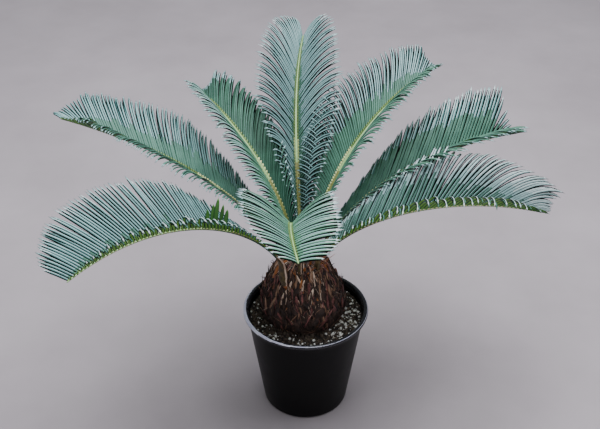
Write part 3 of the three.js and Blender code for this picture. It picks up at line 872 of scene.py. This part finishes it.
def curl_roots():
    """Fine pale roots that curl on the mix, half of them at the right."""
    rng = np.random.default_rng(ROOT_SEED)
    pile = Pile()
    angle = np.radians(np.concatenate([rng.normal(*ROOTS_AT_RIGHT), rng.uniform(*ROOTS_AROUND)]))
    count = len(angle)
    radius = rng.uniform(*ROOT_RADII, count)
    share = np.linspace(0, 1, ROOT_STEPS)
    way = rng.uniform(0, 2 * math.pi, (count, 1)) + rng.normal(0, ROOT_CURL, (count, 1)) * share
    step = np.stack([np.cos(way), np.sin(way)], -1) * rng.uniform(*ROOT_LENGTHS, (count, 1, 1)) / ROOT_STEPS
    flat = np.stack([radius * np.cos(angle), radius * np.sin(angle)], -1)[:, None] + np.cumsum(step, axis=1)
    flat *= np.minimum(1, ROOT_REACH / np.linalg.norm(flat, axis=-1, keepdims=True))
    lines = np.concatenate([flat, np.zeros((count, ROOT_STEPS, 1))], axis=-1)
    lines[..., 2] = mix_height(lines) + ROOT_LIFT + ROOT_ARCH * np.sin(math.pi * share)
    width = rng.uniform(*ROOT_WIDTHS, (count, 1)) * np.ones((1, ROOT_STEPS - 1))
    blades(pile, lines, np.tile(UP, (count, 1)), width, STRIP_RING, one_slot_each(np.zeros(count)))
    return pile.join("fine_roots", [ROOT])


def scatter_mix():
    rng = np.random.default_rng(MIX_SEED)
    for made in (scatter_bits(rng), scatter_grains(rng), curl_roots()):
        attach(made, "root")


make_mix()
scatter_mix()

# Trunk

TRUNK_SEED = 21
TRUNK_SIDES = 220
TRUNK_RINGS = 120
TRUNK_TOP = 348
TRUNK_OUTLINE = np.array([
    (70, SOIL_LEVEL + GAP), (80, 224), (83.5, 245), (80, 268), (71, 292), (60, 312), (50, 332), (38, 343),
    (20, TRUNK_TOP),
])
# The foot sunk in the mix and drawn in there, and the ring round the top's middle
FOOT_SUNK = 6
FOOT_DRAW = 4
TOP_RING = 10
# The rows of leaf bases, as the solids have them, and the share of their depth that shows here
SCALE_COLUMNS = 11
SCALE_ROWS = 7
SCALE_DEPTH = 3.5
SCALE_SHARE = 0.6
BARK_WAVES = ((1.3, 9, 11, 0.25), (0.9, 4, 12, 0.25), (1.2, 24, 13, 1))
CORE_SUNK = 1.5

BARK_LOOKS = [BARK_DARK, BARK_RED, BARK_BROWN, BARK_TAN, BARK_ORANGE]
DARK_SLOT, RED_SLOT, BROWN_SLOT, TAN_SLOT, ORANGE_SLOT = range(len(BARK_LOOKS))
# The odds of each bark look at the foot and at the crown, and where they change
LOW_ODDS = (0.76, 0.15, 0.08, 0.01, 0.0)
HIGH_ODDS = (0.32, 0.18, 0.18, 0.18, 0.14)
LOW_PLATE_ODDS = (0.7, 0.2, 0.1, 0.0, 0.0)
HIGH_PLATE_ODDS = (0.34, 0.2, 0.16, 0.16, 0.14)
ODDS_FROM = 230
ODDS_REACH = 95
ODDS_POWER = 1.6

# The strips on the trunk: how many, from which height, how far up and how crowded, their lengths and half
# widths, how far their tops stand off and how they wander
BASES = dict(count=560, low=206, reach=118, crowding=0.85, lengths=(14, 24), widths=(1.2, 3.4),
             lift=(0.5, 4.5), wander=0.2, steps=7)
PLATES = dict(count=230, low=214, reach=104, crowding=0.8, lengths=(18, 36), widths=(2.4, 4.6),
              lift=(3, 7), wander=0.25, steps=7)
FIBRES = dict(count=1300, low=206, reach=132, crowding=1, lengths=(8, 28), widths=(0.25, 0.7),
              lift=(1, 7), wander=0.4, steps=6)
LOOSE_FIBRES = dict(count=110, low=250, reach=78, crowding=1, lengths=(10, 20), widths=(0.5, 0.9),
                    lift=(8, 14), wander=0.6, steps=7)
# How much longer the leaf bases get towards the crown
BASES_LONGER = 16
LONGER_FROM = 230
LONGER_REACH = 90
# The fibres that hang, and the lowest height that they hang from
HANGING = 0.25
HANGING_LENGTH = -0.7
HANGING_FROM = 228
LOOSE_DARK = 0.7
LIFT_POWER = 1.6
STRIP_SUNK = 1.5
STRIP_SKEW = 0.35
STRIP_DEPTH = 0.3
LEAST_DEPTH = 0.35
WANDER_LENGTH = 80

# The scales that stand between the stalks on the crown
CROWN_SCALES = 90
CROWN_RADIUS = 46
CROWN_TURN = 137.5
CROWN_HEIGHT = 352
CROWN_SLOPE = 0.36
CROWN_SUNK = 8
CROWN_SPLAY = 0.7
CROWN_SKEW = 0.2
CROWN_LENGTHS = (14, 30)
CROWN_WIDTHS = (2.2, 4.2)
CROWN_DEPTH = 0.35
CROWN_STEPS = 8
CROWN_ODDS = {ORANGE_SLOT: 0.5, BROWN_SLOT: 0.25, TAN_SLOT: 0.1, RED_SLOT: 0.15}


def spline(points, count):
    """The curve through the outline's points, as the solids have it."""
    last = len(points) - 1
    place = np.linspace(0, last, count)
    i = np.minimum(place.astype(int), last - 1)
    t = (place - i)[:, None]
    before, first = points[np.maximum(i - 1, 0)], points[i]
    second, after = points[i + 1], points[np.minimum(i + 2, last)]
    v, w = (second - before) / 2, (after - first) / 2
    cube, square = 2 * first - 2 * second + v + w, 3 * second - 3 * first - 2 * v - w
    return cube * t ** 3 + square * t ** 2 + v * t + first


OUTLINE = spline(TRUNK_OUTLINE, TRUNK_RINGS)


def trunk_radius(height):
    return np.interp(height, OUTLINE[:, 1], OUTLINE[:, 0])


def trunk_shift(height):
    share = (height - SOIL_LEVEL) / (TRUNK_TOP - SOIL_LEVEL)
    return FOOT_SHIFT + (CROWN_SHIFT - FOOT_SHIFT) * share


def trunk_relief(angle, points):
    """How far the trunk stands out at these points: its rows of leaf bases, and rough bark."""
    share = (points[..., 2] - TRUNK_OUTLINE[0, 1]) / (TRUNK_TOP - TRUNK_OUTLINE[0, 1])
    column, row = angle / (2 * math.pi) * SCALE_COLUMNS, share * SCALE_ROWS
    ridges = np.cos(math.pi * (column + row)) * np.cos(math.pi * (column - row))
    ridges = SCALE_DEPTH * ridges * np.sin(math.pi * np.minimum(1, share * 1.1))
    return roughened(ridges * SCALE_SHARE, points, BARK_WAVES)


def make_trunk():
    radius, height = OUTLINE[0]
    profile = [(0, height - FOOT_SUNK), (radius - FOOT_DRAW, height - FOOT_SUNK)]
    profile += [tuple(p) for p in OUTLINE] + [(TOP_RING, TRUNK_TOP), (0, TRUNK_TOP)]

    def shape(grid, angle):
        radius = np.hypot(grid[..., 0], grid[..., 1])
        stretch = (radius - CORE_SUNK + trunk_relief(angle[None], grid)) / radius
        grid[..., 0] = grid[..., 0] * stretch + trunk_shift(grid[..., 2])
        grid[..., 1] *= stretch
        return grid

    points, quads, tris = turned(profile, TRUNK_SIDES, shape)
    core = piece("trunk_core", points, quads, tris, np.zeros(len(quads)), np.zeros(len(tris)), [BARK_DARK])
    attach(core, "root")
    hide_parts("trunk")


def on_trunk(angle, height, lift):
    """Points on the trunk's surface, or off it by the lift."""
    radius = trunk_radius(height) + lift
    return np.stack([radius * np.cos(angle) + trunk_shift(height), radius * np.sin(angle), height], -1)


def start_heights(rng, kind):
    return kind["low"] + kind["reach"] * rng.uniform(0, 1, kind["count"]) ** kind["crowding"]


def pick(rng, heights, low_odds, high_odds):
    """A slot for each height, from odds at the foot and at the crown."""
    share = np.clip((heights - ODDS_FROM) / ODDS_REACH, 0, 1)[:, None] ** ODDS_POWER
    odds = np.array(low_odds) * (1 - share) + np.array(high_odds) * share
    steps = np.cumsum(odds / odds.sum(1, keepdims=True), axis=1)
    return (rng.uniform(size=(len(heights), 1)) > steps).sum(1)


def strips(pile, rng, kind, heights, lengths, slots):
    """Adds ragged strips that run up the trunk from these heights, with their tops standing off it."""
    count = kind["count"]
    widths = rng.uniform(*kind["widths"], count)
    angle = rng.uniform(-math.pi, math.pi, count)
    share = np.linspace(0, 1, kind["steps"] + 1)
    lean = rng.normal(0, kind["wander"], (count, 1))
    curl = rng.normal(0, kind["wander"], (count, 1))
    height = heights[:, None] + lengths[:, None] * share
    turn = angle[:, None] + (lean * share + curl * share ** 2) * lengths[:, None] / WANDER_LENGTH
    off = rng.uniform(*kind["lift"], (count, 1)) * share ** LIFT_POWER - STRIP_SUNK
    across = np.stack([-np.sin(angle), np.cos(angle), 0 * angle], -1)
    across = unit(across + STRIP_SKEW * rng.normal(size=(count, 3)))
    u = share[:-1]
    taper = (0.75 + 0.25 * np.sin(u * math.pi)) * (1 - 0.55 * u ** 3)
    width = widths[:, None] * taper
    depth = np.maximum(width * STRIP_DEPTH, LEAST_DEPTH)
    blades(pile, on_trunk(turn, height, off), across, width, STRIP_RING, one_slot_each(slots), depth)


def grow_bases(rng):
    """Ragged old leaf bases, with broader plates over them."""
    pile = Pile()
    heights = start_heights(rng, BASES)
    longer = BASES_LONGER * np.clip((heights - LONGER_FROM) / LONGER_REACH, 0, 1)
    lengths = rng.uniform(*BASES["lengths"], BASES["count"]) + longer
    slots = pick(rng, heights, LOW_ODDS, HIGH_ODDS)
    strips(pile, rng, BASES, heights, lengths, slots)
    heights = start_heights(rng, PLATES)
    slots = pick(rng, heights, LOW_PLATE_ODDS, HIGH_PLATE_ODDS)
    lengths = rng.uniform(*PLATES["lengths"], PLATES["count"])
    strips(pile, rng, PLATES, heights, lengths, slots)
    return pile.join("leaf_bases", BARK_LOOKS)


def grow_fibres(rng):
    """Fine fibres, of which some hang, and loose ones that stand well off the trunk."""
    pile = Pile()
    count = FIBRES["count"]
    heights = start_heights(rng, FIBRES)
    lengths = rng.uniform(*FIBRES["lengths"], count)
    lengths = lengths * rng.choice([1, HANGING_LENGTH], count, p=[1 - HANGING, HANGING])
    heights = np.where(lengths < 0, np.maximum(heights, HANGING_FROM), heights)
    slots = pick(rng, heights, LOW_ODDS, HIGH_ODDS)
    strips(pile, rng, FIBRES, heights, lengths, slots)
    count = LOOSE_FIBRES["count"]
    heights = start_heights(rng, LOOSE_FIBRES)
    slots = rng.choice([DARK_SLOT, BROWN_SLOT], count, p=[LOOSE_DARK, 1 - LOOSE_DARK])
    lengths = rng.uniform(*LOOSE_FIBRES["lengths"], count)
    strips(pile, rng, LOOSE_FIBRES, heights, lengths, slots)
    return pile.join("trunk_fibres", BARK_LOOKS)


def grow_scales(rng):
    """Scales on the crown, which splay outward more the further out they stand."""
    pile = Pile()
    number = np.arange(CROWN_SCALES)
    angle = number * math.radians(CROWN_TURN)
    radius = CROWN_RADIUS * np.sqrt((number + 0.5) / CROWN_SCALES)
    height = CROWN_HEIGHT - radius * CROWN_SLOPE
    foot = np.stack([radius * np.cos(angle) + CROWN_SHIFT, radius * np.sin(angle), height], -1)
    outward = np.stack([np.cos(angle), np.sin(angle), 0 * angle], -1)
    share = np.linspace(0, 1, CROWN_STEPS)
    rise = share[:, None]
    length = rng.uniform(*CROWN_LENGTHS, CROWN_SCALES)[:, None, None]
    splay = (radius / CROWN_RADIUS)[:, None, None] * CROWN_SPLAY
    lines = foot[:, None] + length * rise * (UP + splay * outward[:, None] * rise)
    lines[..., 2] -= CROWN_SUNK
    across = unit(np.cross(UP, outward) + CROWN_SKEW * rng.normal(size=(CROWN_SCALES, 3)))
    width = rng.uniform(*CROWN_WIDTHS, CROWN_SCALES)[:, None] * (1 - 0.8 * share[:-1] ** 1.5)
    slots = rng.choice(list(CROWN_ODDS), CROWN_SCALES, p=list(CROWN_ODDS.values()))
    blades(pile, lines, across, width, STRIP_RING, one_slot_each(slots), width * CROWN_DEPTH)
    return pile.join("crown_scales", BARK_LOOKS)


def dress_trunk():
    rng = np.random.default_rng(TRUNK_SEED)
    for made in (grow_bases(rng), grow_fibres(rng), grow_scales(rng)):
        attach(made, "root")


# Stalks

STALK_RING = np.array([
    (1, 0), (0.7, 0.6), (0, 0.85), (-0.7, 0.6), (-1, 0), (-0.7, -0.5), (0, -0.7), (0.7, -0.5),
])
STALK_STEPS = 18
# How far each stalk's foot turns round the trunk, how far down it reaches and its half width
STALK_FEET = {"frond_front_left": (16, 31, 11), "frond_front": (0, 6, 4)}
USUAL_FOOT = (0, 8, 4.5)
# Where a foot leaves the rib, and how it comes down, in shares of its turn and reach
FOOT_PLACES = np.array([0.1, 0.05])
FOOT_DROPS = np.array([0.15, 0.38, 0.6, 0.82, 1.0])
FOOT_LIFTS = np.array([3, 2.5, 1, -1, -4])
# Its half width in shares of the widest, and its half depth, along its length
WIDTH_PLACES, FOOT_WIDTHS = [0, 0.35, 0.65, 1], [0.55, 0.95, 0.7, 0.15]
DEPTH_PLACES, FOOT_DEPTHS = [0, 0.4, 1], [3.6, 3.2, 1.6]
ORANGE_FROM = 0.72
STALK_LOOKS = [STALK_SKIN, BARK_TAN, BARK_ORANGE]
SKIN_SLOT, MARGIN_SLOT, LOW_SLOT = range(len(STALK_LOOKS))


def stalk_slots(n, i, j, m):
    """Brown with one tan margin, and orange where it ends on the trunk."""
    slots = np.where(i > ORANGE_FROM * STALK_STEPS, LOW_SLOT, np.where(j == 0, MARGIN_SLOT, SKIN_SLOT))
    return slots, np.repeat([LOW_SLOT, SKIN_SLOT], [m, m - 2])


def lay_stalks():
    """The stalks' flattened feet, from the ribs down onto the trunk."""
    pile = Pile()
    share = np.linspace(0, 1, STALK_STEPS)[:-1]
    for frond in FRONDS:
        turn, reach, width = STALK_FEET.get(frond["name"], USUAL_FOOT)
        angle, _, height = frond["root"]
        out = at(walk_rib(frond)[0], FOOT_PLACES)
        down = on_trunk(np.radians(angle + turn * FOOT_DROPS), height - reach * FOOT_DROPS, FOOT_LIFTS)
        line = spline(np.concatenate([out, down]), STALK_STEPS)
        wide = width * np.interp(share, WIDTH_PLACES, FOOT_WIDTHS)
        deep = np.interp(share, DEPTH_PLACES, FOOT_DEPTHS)
        middle = math.radians(angle + turn / 2)
        across = np.array([[-math.sin(middle), math.cos(middle), 0]])
        blades(pile, line[None], across, wide[None], STALK_RING, stalk_slots, deep[None])
    stalks = pile.join("stalk_feet", STALK_LOOKS)
    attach(stalks, "root")


make_trunk()
dress_trunk()
lay_stalks()

# Floor, light and sky

FLOOR_REACH = 3000
# So that the floor and the pot's underside don't fight
FLOOR_DROP = 0.2


def add_floor():
    corners = np.array([(-1, -1, 0), (1, -1, 0), (1, 1, 0), (-1, 1, 0)]) * FLOOR_REACH - [0, 0, FLOOR_DROP]
    floor = piece("floor", corners, [(0, 1, 2, 3)], [], np.zeros(1), np.zeros(0), [FLOOR], smooth=False)


def add_light(name, place, aim, size, watts, colour):
    data = bpy.data.lights.new(name, "AREA")
    data.shape = "DISK"
    data.size = size
    data.energy = watts
    data.color = colour
    light = bpy.data.objects.new(name, data)
    bpy.context.scene.collection.objects.link(light)
    light.location = place
    x, y, z = np.array(aim, float) - np.array(place, float)
    light.rotation_euler = (math.atan2(math.hypot(x, y), -z), 0, math.atan2(y, x) - math.pi / 2)


def add_sky(colour, strength):
    world = bpy.data.worlds.new("sky")
    world.use_nodes = True
    back = world.node_tree.nodes["Background"]
    back.inputs["Color"].default_value = (*colour, 1)
    back.inputs["Strength"].default_value = strength
    bpy.context.scene.world = world


add_floor()
add_light("overhead", (0.1, 0.4, 3.2), (0, 0, 0.3), 3.2, 175, (0.92, 0.95, 1.0))
add_light("front", (0.8, -2.2, 1.8), (0, 0, 0.2), 1.8, 8, (1.0, 0.98, 0.95))
add_sky((0.82, 0.87, 0.95), 0.32)
